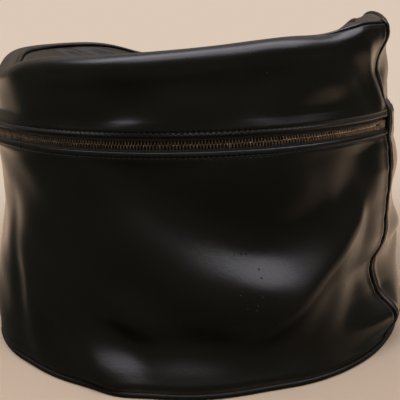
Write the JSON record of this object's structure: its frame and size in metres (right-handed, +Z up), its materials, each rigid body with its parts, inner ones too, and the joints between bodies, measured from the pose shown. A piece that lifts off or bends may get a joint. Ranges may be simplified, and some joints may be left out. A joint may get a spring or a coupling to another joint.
{
  "type": "soft drum bag",
  "caption": "Soft round zipped bag for a rack tom, with piped seams, a hollowed top that folds back, and a strap handle behind.",
  "frame": {"origin": "the bag's upright axis where it meets the underside of the base panel, which rests on the floor", "axes": "+Z up along the bag's axis; -Y towards the middle of the zipped front, +Y towards the rear panel and its handle"},
  "size_m": [0.3766, 0.4052, 0.2755],
  "materials": {
    "black_vinyl": "grained, semi-gloss",
    "grey_fleece": "matte pile",
    "fibreboard": "matte pressed board",
    "black_tape": "woven, matte",
    "aged_brass": "darkened, satin",
    "nickel_steel": "satin"
  },
  "bodies": {
    "wall": {"base_panel": "black_vinyl", "base_board": "fibreboard", "base_lining": "grey_fleece", "base_piping": "black_vinyl", "base_seam_binding": "grey_fleece", "front_wall": "black_vinyl", "rear_panel": "black_vinyl", "seam_piping_right": "black_vinyl", "seam_piping_left": "black_vinyl", "side_seam_binding_right": "grey_fleece", "side_seam_binding_left": "grey_fleece", "zip_tape_lower": "black_tape", "zip_teeth_lower": "aged_brass", "zip_end_right": "black_tape", "zip_end_left": "black_tape", "zip_stop_right": "aged_brass", "zip_stop_left": "aged_brass", "rear_top": "black_vinyl", "rear_top_piping": "black_vinyl", "handle_strap": "black_vinyl", "handle_grip": "black_vinyl", "handle_backing": "grey_fleece", "handle_rivet_1": "nickel_steel", "handle_rivet_2": "nickel_steel", "handle_rivet_3": "nickel_steel", "handle_rivet_4": "nickel_steel", "handle_washer_1": "nickel_steel", "handle_washer_2": "nickel_steel", "handle_washer_3": "nickel_steel", "handle_washer_4": "nickel_steel"},
    "lid": {"lid_band": "black_vinyl", "lid_top": "black_vinyl", "lid_top_piping": "black_vinyl", "lid_seam_binding": "grey_fleece", "zip_tape_upper": "black_tape", "zip_teeth_upper": "aged_brass"},
    "slider": {"slider_body": "aged_brass"},
    "pull_tab": {"pull_tab": "aged_brass"}
  },
  "joints": [
    {"name": "lid_hinge", "type": "hinge", "parent": "wall", "child": "lid", "pos_m": [0.00138, 0.09982, 0.2566], "axis": [-0.9943, -0.0067, -0.1068], "range_deg": [0, 140]},
    {"name": "zip_travel", "type": "hinge", "parent": "wall", "child": "slider", "pos_m": [0, 0, 0.19], "axis": [0, 0, 1], "range_deg": [0, 242.2]},
    {"name": "pull_swing", "type": "hinge", "parent": "slider", "child": "pull_tab", "pos_m": [-0.15983, 0.0964, 0.19], "axis": [0, 0, -1], "range_deg": [0, 175]}
  ]
}
